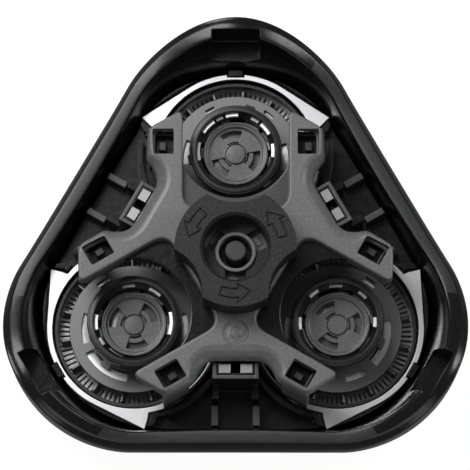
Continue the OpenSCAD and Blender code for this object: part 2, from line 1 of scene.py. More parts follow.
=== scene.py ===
import math
import bmesh
import bpy
import numpy as np
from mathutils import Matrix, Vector
from mathutils.geometry import delaunay_2d_cdt


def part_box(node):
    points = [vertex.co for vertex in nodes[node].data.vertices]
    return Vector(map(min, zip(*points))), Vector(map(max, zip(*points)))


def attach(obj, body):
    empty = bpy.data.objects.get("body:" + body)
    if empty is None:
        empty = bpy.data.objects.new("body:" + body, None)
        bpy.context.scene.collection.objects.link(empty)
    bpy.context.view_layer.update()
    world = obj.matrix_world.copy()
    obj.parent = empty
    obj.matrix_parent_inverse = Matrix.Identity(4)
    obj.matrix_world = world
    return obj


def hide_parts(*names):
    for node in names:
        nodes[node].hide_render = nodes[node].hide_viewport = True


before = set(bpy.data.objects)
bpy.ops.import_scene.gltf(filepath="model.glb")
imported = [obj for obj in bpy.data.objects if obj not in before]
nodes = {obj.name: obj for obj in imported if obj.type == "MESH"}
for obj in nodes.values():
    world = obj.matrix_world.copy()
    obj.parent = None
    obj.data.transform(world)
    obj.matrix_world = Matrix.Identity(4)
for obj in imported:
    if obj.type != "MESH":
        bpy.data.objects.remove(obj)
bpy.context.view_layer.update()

mm = 0.001
heads = "abc"
print("frame loaded")

# Photo view: down into the open back, tilted a little towards the side between heads b and c
photoView = {
    "tiltDeg": 13.15,        # off the head's axis
    "distance": 763.3 * mm,
    "lens": 409.3,
    "aimUp": 2.78 * mm,      # keeps the lock disc where the photo has it
    "aimLeft": 0.09 * mm,
    "aimHeight": 15 * mm,    # top of the retaining frame
    "sensor": 36,
    "clip": (0.01, 20),
}


# The camera stands a distance from a point on the axis, tilted off it, and looks at a point beside it
def makeCamera(v):
    tilt = math.radians(v["tiltDeg"])
    cam = bpy.data.objects.new("photoCamera", bpy.data.cameras.new("photoCamera"))
    cam.data.lens = v["lens"]
    cam.data.sensor_width = v["sensor"]
    cam.data.clip_start, cam.data.clip_end = v["clip"]
    up = np.array([0, math.cos(tilt), math.sin(tilt)])
    back = np.array([0, -math.sin(tilt), math.cos(tilt)])
    base = np.array([0, 0, v["aimHeight"]])
    place = base + back * v["distance"]
    aim = base + up * v["aimUp"] - np.array([v["aimLeft"], 0, 0])
    look = aim - place
    cam.location = place
    lookDown = math.atan2(math.hypot(look[0], look[1]), -look[2])
    cam.rotation_euler = (lookDown, 0, math.atan2(-look[0], look[1]))
    bpy.context.collection.objects.link(cam)
    bpy.context.scene.camera = cam


makeCamera(photoView)

studio = {
    "worldLight": 0.1,
    "floorColour": (0.12, 0.12, 0.12, 1),
    "floorHalf": 3,
    "floorHeight": -0.02 * mm,
    "floorGlow": 0.95,       # what the camera sees of the floor by itself
    "mirrored": 0.12,        # share of the white ground that gloss reflects, as in a dark tent
    "paintedShadowReach": 12 * mm,    # reach of the painted shadow on the floor under each opening
    "paintedShadowAxisReach": 8.4 * mm,   # how much further the painted shadow reaches round the axis
    "paintedShadowSoftness": 0.96 * mm,   # from painted shadow to glowing
    "lamps": [               # name, size, power, place
        ("topSoftbox", 0.18, 0.95, (-0.13, 0.13, 0.24)),
        ("rightStrip", 0.16, 0.8, (0.36, 0.12, 0.30)),
        ("frontFill", 0.24, 0.35, (0.02, -0.40, 0.30)),
        ("underFill", 0.30, 1.4, (0.42, -0.34, -0.2)),
    ],
}


# The empty node tree of a material or world
def newTree(owner):
    owner.use_nodes = True
    owner.node_tree.nodes.clear()
    return owner.node_tree


# A node with its settings, whose inputs are values or come from sockets
def newNode(tree, kind, inputs, **settings):
    node = tree.nodes.new(kind)
    for key, setting in settings.items():
        setattr(node, key, setting)
    for label, value in inputs.items():
        if isinstance(value, bpy.types.NodeSocket):
            tree.links.new(value, node.inputs[label])
        else:
            node.inputs[label].default_value = value
    return node


# The outcome of a math node on two values or sockets
def mathNode(tree, op, a, b):
    return newNode(tree, "ShaderNodeMath", {0: a, 1: b}, operation=op).outputs[0]


# A point of the surface in the object's own coordinates
def objectPlace(tree):
    return tree.nodes.new("ShaderNodeTexCoord").outputs["Object"]


# How much of the white ground a ray is shown: camera and transmission rays all of it, glossy rays a share
def showsGround(tree, share):
    path = tree.nodes.new("ShaderNodeLightPath")
    mirror = mathNode(tree, "MULTIPLY", path.outputs["Is Glossy Ray"], share)
    seen = mathNode(tree, "ADD", mirror, path.outputs["Is Camera Ray"])
    return mathNode(tree, "MAXIMUM", seen, path.outputs["Is Transmission Ray"])


# A node's lowest and highest corners
def boxSize(name):
    low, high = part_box(name)
    return np.array(low), np.array(high)


guardBoxes = [boxSize("cutter_guard_" + h) for h in heads]
headPlaces = np.array([(low + high)[:2] / 2 for low, high in guardBoxes])
guardR = (guardBoxes[0][1] - guardBoxes[0][0])[0] / 2


# A white world that only the camera and a share of the gloss see, and that lights weakly
def makeWorld(s):
    bpy.context.scene.world = bpy.data.worlds.new("studioWorld")
    tree = newTree(bpy.context.scene.world)
    white = (1, 1, 1, 1)
    seen = newNode(tree, "ShaderNodeBackground", {"Strength": 1, "Color": white})
    lit = newNode(tree, "ShaderNodeBackground", {"Strength": s["worldLight"], "Color": white})
    share = showsGround(tree, s["mirrored"])
    mix = newNode(tree, "ShaderNodeMixShader", {0: share, 1: lit.outputs[0], 2: seen.outputs[0]})
    newNode(tree, "ShaderNodeOutputWorld", {0: mix.outputs[0]})


# Square lamps that face the axis at the floor
def makeLamps(s):
    for name, size, power, place in s["lamps"]:
        lamp = bpy.data.lights.new(name, "AREA")
        lamp.size = size
        lamp.energy = power
        obj = bpy.data.objects.new(name, lamp)
        obj.location = place
        x, y, z = place
        obj.rotation_euler = (math.atan2(math.hypot(x, y), z), 0, math.atan2(x, -y))
        obj.visible_camera = False
        bpy.context.collection.objects.link(obj)


# A white floor that keeps the shadow: plain and dim under the openings as a painted contact shadow, glowing
# elsewhere, clear from below
def makeFloor(s):
    far, height = s["floorHalf"], s["floorHeight"]
    corners = [(-far, -far, height), (far, -far, height), (far, far, height), (-far, far, height)]
    mesh = bpy.data.meshes.new("floor")
    mesh.from_pydata(corners, [], [[0, 1, 2, 3]])
    floor = bpy.data.objects.new("floor", mesh)
    bpy.context.collection.objects.link(floor)
    mat = bpy.data.materials.new("paleFloor")
    tree = newTree(mat)
    # painted shadow: the floor's glow is off near each opening and near the axis; the least of four
    # distances decides
    place = objectPlace(tree)
    nearest = far
    for x, y, less in [(*spot, 0.0) for spot in headPlaces] + [(0, 0, s["paintedShadowAxisReach"])]:
        away = newNode(tree, "ShaderNodeVectorMath", {0: place, 1: (x, y, height)}, operation="DISTANCE")
        nearest = mathNode(tree, "MINIMUM", nearest, mathNode(tree, "SUBTRACT", away.outputs["Value"], less))
    # the glow rises from nothing inside the painted shadow to full outside it
    outsidePaintedShadow = newNode(tree, "ShaderNodeMapRange", {
        "Value": nearest, "From Min": s["paintedShadowReach"], "From Max": s["paintedShadowReach"] + s["paintedShadowSoftness"],
        "To Max": s["floorGlow"],
    }, interpolation_type="SMOOTHSTEP")
    glow = mathNode(tree, "MULTIPLY", showsGround(tree, s["mirrored"]), outsidePaintedShadow.outputs[0])
    body = newNode(tree, "ShaderNodeBsdfPrincipled", {
        "Base Color": s["floorColour"], "Roughness": 0.9, "Emission Color": (1, 1, 1, 1),
        "Emission Strength": glow,
    })
    # seen from below, and to the light from below, the floor is clear
    under = tree.nodes.new("ShaderNodeNewGeometry").outputs["Backfacing"]
    shadow = tree.nodes.new("ShaderNodeLightPath").outputs["Is Shadow Ray"]
    clear = newNode(tree, "ShaderNodeBsdfTransparent", {})
    mix = newNode(tree, "ShaderNodeMixShader", {
        0: mathNode(tree, "MAXIMUM", under, shadow), 1: body.outputs[0], 2: clear.outputs[0],
    })
    newNode(tree, "ShaderNodeOutputMaterial", {0: mix.outputs[0]})
    mesh.materials.append(mat)


makeWorld(studio)
makeLamps(studio)
makeFloor(studio)
print("studio built")


# A shader node group that the finishes share, with its inputs and its output node
def startGroup(name, ins, outs):
    group = bpy.data.node_groups.new(name, "ShaderNodeTree")
    for label, kind, value in ins:
        sock = group.interface.new_socket(name=label, in_out="INPUT", socket_type=kind)
        sock.default_value = value
    for label, kind in outs:
        group.interface.new_socket(name=label, in_out="OUTPUT", socket_type=kind)
    return group, group.nodes.new("NodeGroupInput").outputs, group.nodes.new("NodeGroupOutput")


# One colour going over into another by a factor
def mixColour(tree, fac, a, b):
    return newNode(tree, "ShaderNodeMix", {0: fac, 6: a, 7: b}, data_type="RGBA").outputs[2]


# Noise between 0 and 1 at a place
def noise(tree, place, scale, detail):
    inputs = {"Vector": place, "Scale": scale, "Detail": detail}
    return newNode(tree, "ShaderNodeTexNoise", inputs).outputs[0]


# The sockets that both groups put out
groupOuts = [
    ("Color", "NodeSocketColor"), ("Roughness", "NodeSocketFloat"),
    ("Height", "NodeSocketFloat"), ("Normal", "NodeSocketVector"),
]


# What a group puts out: a colour, the roughness spread by the tone, the height and the rounded normal
def putOut(g, gi, go, colour, tone, height, normal):
    spread = mathNode(g, "MULTIPLY", mathNode(g, "SUBTRACT", tone, 0.5), gi["Spread"])
    rough = mathNode(g, "ADD", gi["Roughness"], spread)
    for label, value in (("Color", colour), ("Roughness", rough), ("Height", height), ("Normal", normal)):
        g.links.new(value, go.inputs[label])
    return g


mould = {
    "cloud": (110, 5),       # scale and detail
    "grainDetail": 3,
    "edgeGain": 6.0,         # how soon a lean of the normal counts as an edge
    "rubLeast": 0.3,
    "speckFrom": 0.42,       # grain below this is dark
    "speckGain": 5.0,
    "cloudShare": 0.4,       # of the tone; the rest is speckle
}


# Moulded plastic: a cloudy tone with a fine speckle, and paler rubbed edges.
# The rub is how far the rounded normal leans from the true one, times the edge amount and the cloud
def buildMouldGroup(m):
    g, gi, go = startGroup("mouldedSkin", [
        ("Base", "NodeSocketColor", (0.1, 0.1, 0.1, 1)),
        ("Edge", "NodeSocketColor", (0.3, 0.3, 0.3, 1)),
        ("Grain", "NodeSocketFloat", 3000.0),
        ("Roughness", "NodeSocketFloat", 0.4),
        ("Spread", "NodeSocketFloat", 0.12),
        ("Speckle", "NodeSocketFloat", 0.32),
        ("Edge Width", "NodeSocketFloat", 0.0002),
        ("Edge Amount", "NodeSocketFloat", 0.5),
    ], groupOuts)
    place = objectPlace(g)
    cloud = noise(g, place, *m["cloud"])
    grain = noise(g, place, gi["Grain"], m["grainDetail"])
    rounded = newNode(g, "ShaderNodeBevel", {"Radius": gi["Edge Width"]}, samples=4).outputs[0]
    true = g.nodes.new("ShaderNodeNewGeometry").outputs["Normal"]
    dot = newNode(g, "ShaderNodeVectorMath", {0: rounded, 1: true}, operation="DOT_PRODUCT").outputs["Value"]
    edge = mathNode(g, "MULTIPLY", mathNode(g, "SUBTRACT", 1.0, dot), m["edgeGain"])
    worn = mathNode(g, "MULTIPLY", gi["Edge Amount"], mathNode(g, "ADD", cloud, m["rubLeast"]))
    rub = mathNode(g, "MULTIPLY", mathNode(g, "MINIMUM", edge, 1.0), worn)
    crisp = mathNode(g, "MULTIPLY", mathNode(g, "SUBTRACT", grain, m["speckFrom"]), m["speckGain"])
    crisp = mathNode(g, "MAXIMUM", mathNode(g, "MINIMUM", crisp, 1.0), 0.0)
    speckPart = mathNode(g, "MULTIPLY", crisp, 1 - m["cloudShare"])
    tone = mathNode(g, "ADD", mathNode(g, "MULTIPLY", cloud, m["cloudShare"]), speckPart)
    darker = mixColour(g, gi["Speckle"], gi["Base"], (0, 0, 0, 1))
    toned = mixColour(g, tone, darker, gi["Base"])
    return putOut(g, gi, go, mixColour(g, rub, toned, gi["Edge"]), tone, grain, rounded)


metal = {
    "cloud": (160, 4),       # scale and detail
    "ringDetail": 2,
    "dark": (0.05, 0.05, 0.05, 1),
    "darkShare": 0.3,
}


# Turned steel: fine rings, which are noise over the distance from a head's axis, broken up by a cloud
def buildSteelGroup(m):
    g, gi, go = startGroup("turnedSteel", [
        ("Base", "NodeSocketColor", (0.6, 0.6, 0.6, 1)),
        ("Place", "NodeSocketVector", (0, 0, 0)),
        ("Rings", "NodeSocketFloat", 9000.0),
        ("Roughness", "NodeSocketFloat", 0.3),
        ("Spread", "NodeSocketFloat", 0.15),
        ("Edge Width", "NodeSocketFloat", 0.0001),
    ], groupOuts)
    flat = newNode(g, "ShaderNodeVectorMath", {0: gi["Place"], 1: (1, 1, 0)}, operation="MULTIPLY")
    length = newNode(g, "ShaderNodeVectorMath", {0: flat.outputs[0]}, operation="LENGTH").outputs["Value"]
    line = newNode(g, "ShaderNodeCombineXYZ", {0: length}).outputs[0]
    rings = noise(g, line, gi["Rings"], m["ringDetail"])
    cloud = noise(g, gi["Place"], *m["cloud"])
    rounded = newNode(g, "ShaderNodeBevel", {"Radius": gi["Edge Width"]}, samples=4).outputs[0]
    tone = mathNode(g, "MULTIPLY", mathNode(g, "ADD", cloud, rings), 0.5)
    darker = mixColour(g, m["darkShare"], gi["Base"], m["dark"])
    return putOut(g, gi, go, mixColour(g, tone, darker, gi["Base"]), tone, rings, rounded)


mouldedSkin = buildMouldGroup(mould)
turnedSteel = buildSteelGroup(metal)


# A new material with one of the groups in it: a Principled surface with the group's height as a bump
def startMaterial(name, group, values, metallic, bumpStrength, bumpDistance, coat, specular):
    mat = bpy.data.materials.new(name)
    tree = newTree(mat)
    skin = newNode(tree, "ShaderNodeGroup", values, node_tree=group)
    out = skin.outputs
    bump = newNode(tree, "ShaderNodeBump", {
        "Strength": bumpStrength, "Distance": bumpDistance, "Height": out["Height"], "Normal": out["Normal"],
    })
    body = newNode(tree, "ShaderNodeBsdfPrincipled", {
        "Base Color": out["Color"], "Roughness": out["Roughness"], "Normal": bump.outputs[0],
        "Metallic": metallic, "Coat Weight": coat, "Coat Roughness": 0.12, "Specular IOR Level": specular,
    })
    newNode(tree, "ShaderNodeOutputMaterial", {0: body.outputs[0]})
    return mat, tree, body, skin


# Moulded plastic, with painted shade: near-black colour in the sunk outlines, where shade falls
def plastic(name, base, edge, roughness, grain=3000.0, spread=0.12, bump=0.12, depth=0.03 * mm,
            edgeWidth=0.2 * mm, edgeAmount=0.4, coat=0.0, specular=0.5, speckle=0.32, shadedGrooves=None):
    mat, tree, body, skin = startMaterial(name, mouldedSkin, {
        "Base": (*base, 1), "Edge": (*edge, 1), "Grain": grain, "Roughness": roughness, "Spread": spread,
        "Edge Width": edgeWidth, "Edge Amount": edgeAmount, "Speckle": speckle,
    }, 0, bump, depth, coat, specular)
    if shadedGrooves:
        mask = grooveShadeMask(tree, *shadedGrooves)
        # painted shade: the sunk outlines are coloured near-black
        dark = mixColour(tree, mask, skin.outputs["Color"], (0.001, 0.001, 0.001, 1))
        tree.links.new(dark, body.inputs["Base Color"])
    return mat


# 1 where the surface lies between two heights and outside a radius: the sunk outlines of the arrows, which
# get painted shade
def grooveShadeMask(tree, low, high, radius):
    x, y, z = newNode(tree, "ShaderNodeSeparateXYZ", {0: objectPlace(tree)}).outputs
    squares = mathNode(tree, "ADD", mathNode(tree, "POWER", x, 2.0), mathNode(tree, "POWER", y, 2.0))
    outside = mathNode(tree, "GREATER_THAN", squares, radius ** 2)
    above, below = mathNode(tree, "GREATER_THAN", z, low), mathNode(tree, "LESS_THAN", z, high)
    return mathNode(tree, "MULTIPLY", mathNode(tree, "MULTIPLY", above, below), outside)


# Turned steel, with its rings round a centre
def steel(name, base, roughness, centre=(0, 0), rings=9000.0, spread=0.15, bump=0.15, edgeWidth=0.08 * mm):
    mat, tree, _, skin = startMaterial(name, turnedSteel, {
        "Base": (*base, 1), "Rings": rings, "Roughness": roughness, "Spread": spread,
        "Edge Width": edgeWidth,
    }, 1, bump, 0.01 * mm, 0, 0.5)
    shift = newNode(tree, "ShaderNodeMapping", {
        "Vector": objectPlace(tree), "Location": (-centre[0], -centre[1], 0),
    })
    tree.links.new(shift.outputs[0], skin.inputs["Place"])
    return mat


# A grey with a trace of blue
def grey(v):
    return (v, v, v * 1.01)


gloss = {"roughness": 0.24, "grain": 1400.0, "spread": 0.1, "bump": 0.06, "specular": 0.35}
housingBlack = plastic("housingBlack", grey(0.004), grey(0.03), edgeWidth=0.3 * mm, **gloss)
rimSatin = plastic("rimSatin", grey(0.014), grey(0.05), 0.4, grain=2200.0)
carrierBlack = plastic("carrierBlack", grey(0.006), grey(0.05), edgeWidth=0.12 * mm, **gloss)
# a lighter copy of the black plastic: painted highlight for the caps on towers and ribs
ribHighlightGrey = plastic("ribHighlightGrey", grey(0.06), grey(0.12), 0.4)
webGrey = plastic("webGrey", grey(0.035), grey(0.09), 0.4)
backSteel = steel("backSteel", grey(0.95), 0.4)
frameGrey = plastic("frameGrey", grey(0.13), grey(0.22), 0.42, grain=2600.0)
lockGrey = plastic("lockGrey", grey(0.020), grey(0.03), 0.55, grain=3600.0, bump=0.8, depth=0.08 * mm,
                   specular=0.3, speckle=0.97, edgeAmount=0.2, edgeWidth=0.1 * mm,
                   shadedGrooves=(19.6 * mm, 19.86 * mm, 5.3 * mm))
postGrey = plastic("postGrey", grey(0.02), grey(0.05), 0.45)
ringBlack = plastic("ringBlack", grey(0.016), grey(0.06), 0.35)
collarBlack = plastic("collarBlack", grey(0.008), grey(0.05), 0.35, edgeWidth=0.1 * mm)
hubGrey = plastic("hubGrey", grey(0.14), grey(0.3), 0.32, edgeWidth=0.06 * mm, coat=0.2)
clipSteel = steel("clipSteel", grey(0.32), 0.4)
finishes = {
    "housing_shell": housingBlack, "inner_carrier": carrierBlack, "retaining_frame": frameGrey,
    "lock_disc": lockGrey, "centre_post": postGrey,
}
for h, centre in zip(heads, headPlaces.tolist()):
    finishes.update({
        "bezel_plate_" + h: steel("bezelSteel_" + h, grey(0.8), 0.34, centre, 5000.0, 0.06, 0.0),
        "cutter_guard_" + h: steel("guardSteel_" + h, grey(0.42), 0.34, centre),
        "blade_disc_" + h: steel("bladeSteel_" + h, grey(0.16), 0.42, centre, 4000.0, 0.12, 0.1),
        "pivot_ring_" + h: ringBlack, "blade_collar_" + h: collarBlack,
        "drive_hub_" + h: hubGrey, "side_clip_" + h: clipSteel,
    })
for name, mat in finishes.items():
    nodes[name].data.materials.clear()
    nodes[name].data.materials.append(mat)
print("finishes set")


# An object from points and faces, with its finishes; its place is in its points
def makeMesh(name, points, faces, mats, faceMats=None, smooth=True):
    mesh = bpy.data.meshes.new(name)
    mesh.from_pydata(np.asarray(points, float).tolist(), [], [list(map(int, f)) for f in faces])
    for mat in mats:
        mesh.materials.append(mat)
    if faceMats is not None:
        mesh.polygons.foreach_set("material_index", np.asarray(faceMats, np.int32))
    mesh.polygons.foreach_set("use_smooth", np.full(len(mesh.polygons), smooth))
    mesh.update()
    obj = bpy.data.objects.new(name, mesh)
    bpy.context.collection.objects.link(obj)
    return obj


# Quads between rings of equal length: rings[k] is joined to rings[k + 1], and round the loop
def loopQuads(rings, count):
    k = np.arange(rings - 1)[:, None] * count
    i = np.arange(count)[None, :]
    j = (i + 1) % count
    quads = np.stack(np.broadcast_arrays(k + i, k + j, k + count + j, k + count + i), -1)
    return quads.reshape(-1, 4)


# Chaikin's corner cutting down the first axis: each step keeps the ends and splits each span at 1/4 and 3/4
def roundRings(rings, times):
    for _ in range(times):
        a, b = rings[:-1], rings[1:]
        cut = np.stack([0.75 * a + 0.25 * b, 0.25 * a + 0.75 * b], 1).reshape(-1, *rings.shape[1:])
        rings = np.concatenate([rings[:1], cut[1:-1], rings[-1:]])
    return rings


# A flat sheet between closed loops: constrained triangles whose middle passes the keep test
def flatSheet(loops, z, keep):
    verts = np.concatenate(loops)
    edges = []
    start = 0
    for loop in loops:
        n = len(loop)
        edges += [(start + i, start + (i + 1) % n) for i in range(n)]
        start += n
    flat = [Vector((float(x), float(y))) for x, y in verts]
    out, _, faces, _, _, _ = delaunay_2d_cdt(flat, edges, [], 0, 1e-9)
    pts = np.array([tuple(p) for p in out])
    tri = np.array(faces)
    mid = pts[tri].mean(1)
    tri = tri[keep(mid)]
    a, b, c = pts[tri[:, 0]], pts[tri[:, 1]], pts[tri[:, 2]]
    area = (b[:, 0] - a[:, 0]) * (c[:, 1] - a[:, 1]) - (b[:, 1] - a[:, 1]) * (c[:, 0] - a[:, 0])
    tri[area < 0] = tri[area < 0][:, ::-1]
    return np.column_stack([pts, np.full(len(pts), z)]), tri


# Parts of one piece, gathered as points, faces and the finish of each face
def joinParts(parts):
    total = 0
    points, faces, finishes = [], [], []
    for pts, fcs, finish in parts:
        points.append(np.asarray(pts, float))
        faces += [[v + total for v in f] for f in fcs]
        finishes += [finish] * len(fcs) if np.isscalar(finish) else list(finish)
        total += len(pts)
    return np.concatenate(points), faces, np.array(finishes)


# A piece from its parts: its mesh, its sharp edges, and what it rides on, replaces and is finished as
def finishPiece(name, parts, mats, body, replaced, sharpDeg=38):
    points, faces, finishes = joinParts(parts)
    obj = makeMesh(name, points, faces, mats, finishes)
    obj.data.set_sharp_from_angle(angle=math.radians(sharpDeg))
    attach(obj, body)
    if replaced:
        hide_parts(*replaced)


# Points turned about the axis
def turnedPoints(pts, deg):
    a = math.radians(deg)
    c, s = math.cos(a), math.sin(a)
    out = np.array(pts, float)
    x, y = out[:, 0].copy(), out[:, 1].copy()
    out[:, 0] = x * c - y * s
    out[:, 1] = x * s + y * c
    return out


# Points along a chain of corners, at most one step apart
def spaced(corners, step):
    out = []
    for a, b in zip(corners[:-1], corners[1:]):
        a, b = np.array(a, float), np.array(b, float)
        n = max(1, int(math.ceil(np.linalg.norm(b - a) / step)))
        out.append(a + (b - a) * (np.arange(n) / n)[:, None])
    return np.concatenate(out)


# Points on a circle, evenly from one angle to another
def arcPoints(centre, radius, fromDeg, toDeg, n):
    a = np.radians(np.linspace(fromDeg, toDeg, n))
    return np.column_stack([centre[0] + radius * np.cos(a), centre[1] + radius * np.sin(a)])


# Points all round a circle
def circlePoints(radius, steps):
    return arcPoints((0, 0), radius, 0, 360, steps + 1)[:-1]


# The outline of a sector of a ring: out along the outer arc, back along the inner one
def sector(inner, outer, fromDeg, toDeg, n):
    arcs = (outer, fromDeg, toDeg), (inner, toDeg, fromDeg)
    return np.concatenate([arcPoints((0, 0), *arc, n) for arc in arcs])


# Outward normals of a closed loop that runs anticlockwise: across the chord between the neighbours
def loopNormals(loop):
    chord = np.roll(loop, -1, 0) - np.roll(loop, 1, 0)
    chord /= np.linalg.norm(chord, axis=1)[:, None]
    return np.column_stack([chord[:, 1], -chord[:, 0]])


# Even-odd test of points against closed loops: counts the edges crossed on the way to +x
def insideLoops(points, loops):
    odd = np.zeros(len(points), bool)
    for loop in loops:
        a, b = loop, np.roll(loop, -1, 0)
        y = points[:, 1][:, None]
        spans = (a[:, 1] > y) != (b[:, 1] > y)
        rise = np.where(b[:, 1] == a[:, 1], 1e-12, b[:, 1] - a[:, 1])
        cross = a[:, 0] + (y - a[:, 1]) * (b[:, 0] - a[:, 0]) / rise
        odd ^= (np.sum(spans & (points[:, 0][:, None] < cross), 1) % 2).astype(bool)
    return odd


# The upright wall of a hole between two heights
def upright(loop, foot, top, finish):
    rings = [np.column_stack([loop, np.full(len(loop), z)]) for z in (top, foot)]
    return np.concatenate(rings), loopQuads(2, len(loop)).tolist(), finish


# A plate with a rounded edge: rings step the outline in and out down the profile, sheets close top and foot
def plate(loop, profile, holes=(), weight=None, finish=0):
    normals = loopNormals(loop)
    weight = np.zeros(len(loop)) if weight is None else weight
    rings = []
    for out, flare, z, drop in profile:
        move = (out + flare * weight)[:, None] * normals
        rings.append(np.column_stack([loop + move, z - drop * weight]))
    n = len(loop)
    parts = [(np.concatenate(rings), loopQuads(len(rings), n).tolist(), finish)]
    for ring, up in ((rings[-1], True), (rings[0], False)):
        z = ring[:, 2].max() if up else ring[:, 2].min()
        edges = [ring[:, :2], *holes]
        pts, tri = flatSheet(edges, z, lambda mid, loops=edges: insideLoops(mid, loops))
        if len(pts) == n + sum(len(h) for h in holes):
            pts[:n, 2] = ring[:, 2]
        parts.append((pts, (tri if up else tri[:, ::-1]).tolist(), finish))
    foot, top = rings[0][:, 2].min(), rings[-1][:, 2].max()
    return parts + [upright(hole, foot, top, finish) for hole in holes]


# The profile of a plate with a straight side and a small slope at the top
def edged(foot, top, inward, drop):
    return [(0, 0, foot, 0), (0, 0, top - drop, 0), (-inward, 0, top, 0)]


# A rectangle with rounded corners: a quarter circle at each, n points long
def roundedBox(centre, size, corner, n):
    hx, hy = size[0] / 2 - corner, size[1] / 2 - corner
    return np.concatenate([
        arcPoints((centre[0] + sx * hx, centre[1] + sy * hy), corner, start, start + 90, n)
        for sx, sy, start in ((1, 1, 0), (-1, 1, 90), (-1, -1, 180), (1, -1, 270))
    ])


# A block with rounded upright corners and a chamfer round its top
def block(centre, size, z0, z1, corner, deg=0.0, chamfer=0.1 * mm, finish=0):
    loop = turnedPoints(roundedBox((0, 0), size, corner, 4), deg) + np.array(centre)
    part = chamfer * 0.3
    profile = [(0, 0, z0, 0), (0, 0, z1 - chamfer, 0), (-part, 0, z1 - part, 0), (-chamfer, 0, z1, 0)]
    return plate(loop, profile, finish=finish)


# A turned form: the profile of radius and height is swept round an upright axis
def turned(profile, centre=(0, 0), steps=96, finish=0):
    a = np.arange(steps) * 2 * math.pi / steps
    rings = [np.column_stack([centre[0] + r * np.cos(a), centre[1] + r * np.sin(a), np.full(steps, z)])
             for r, z in profile]
    return [(np.concatenate(rings), loopQuads(len(rings), steps).tolist(), finish)]


shellLow, shellHigh = boxSize("housing_shell")

housing = {
    "steps": 360, "holeSteps": 120,
    "sideReach": -shellLow[1],                 # axis to the middle of a side
    "cornerReach": shellHigh[1],               # axis to a rounded corner
    "front": shellLow[2],                      # front face above the shaving faces
    "floor": boxSize("inner_carrier")[0][2],   # inside of the front wall
    "opening": guardR + 0.3 * mm,
    "rimCorner": shellHigh[2],
    "rimSide": shellHigh[2] - 4.9 * mm,
    "climbs": (4.6, 2, 1.6),                   # powers for the rim, the widest line and the foot
    "widestDrop": 2.2 * mm,                    # rim down to the widest line, at a side
    "widestLift": 1.5 * mm,                    # how much less that is at a corner
    "roll": 1.3 * mm,                          # rim strip out to the widest line
    "strip": 1.5 * mm,
    "footSide": 0.9 * mm,                      # rim strip in to the wall's foot, at a side
    "footCorner": 3.3 * mm,
    "tight": 0.16 * mm,                        # half length of a tight edge
    "sheetEdge": 3.87 * mm,                    # the flat sheets stay further in than this
    "roundTimes": 3,
    "stripDeg": 38.5,                          # satin strip to either side of a side's middle
    "pocket": (7 * mm, 30.87 * mm, 33.95 * mm, 6.6 * mm, 20 * mm),    # width, near, far, floor, top
    "sharpDeg": 40,
}


# Reach of the outline at an angle: three straight sides blended by a power mean
def outlineReach(angle, h):
    blend = math.log(2) / math.log(2 * h["sideReach"] / h["cornerReach"])
    sides = [np.maximum(0, np.cos(angle - math.radians(s))) ** blend for s in (30, 150, 270)]
    return h["sideReach"] * sum(sides) ** (-1 / blend)


# 1 at the corners, 0 at the middle of the sides: a raised cosine to a power
def climb(angle, power):
    return ((1 + np.cos(3 * (angle - math.pi / 2))) / 2) ** power


# A ring at the outline's reach less a step inward, at a height
def ringAt(angle, reach, inward, z):
    r = reach - inward
    return np.column_stack([r * np.cos(angle), r * np.sin(angle), np.broadcast_to(z, r.shape)])


# A pocket in each corner's wall: the shell less three boxes, the first turned by 120 and 240 degrees
def cutPockets(shell, pocket):
    width, near, far, low, top = pocket
    x = width / 2
    box = np.array([[a, b, c] for a in (-x, x) for b in (near, far) for c in (low, top)])
    sides = np.array([[0, 1, 3, 2], [4, 6, 7, 5], [0, 4, 5, 1], [2, 3, 7, 6], [0, 2, 6, 4], [1, 5, 7, 3]])
    points = np.concatenate([turnedPoints(box, d) for d in (0, 120, 240)])
    faces = np.concatenate([sides + len(box) * k for k in range(3)])
    cutter = makeMesh("pocketCutter", points, faces, [], smooth=False)
    work = bmesh.new()
    work.from_mesh(shell.data)
    bmesh.ops.remove_doubles(work, verts=work.verts, dist=1e-7)
    work.to_mesh(shell.data)
    work.free()
    cut = shell.modifiers.new("pockets", "BOOLEAN")
    cut.operation = "DIFFERENCE"
    cut.object = cutter
    cut.solver = "EXACT"
    result = bpy.data.meshes.new_from_object(shell.evaluated_get(bpy.context.evaluated_depsgraph_get()))
    shell.modifiers.clear()
    shell.data = result
    bpy.data.objects.remove(cutter)


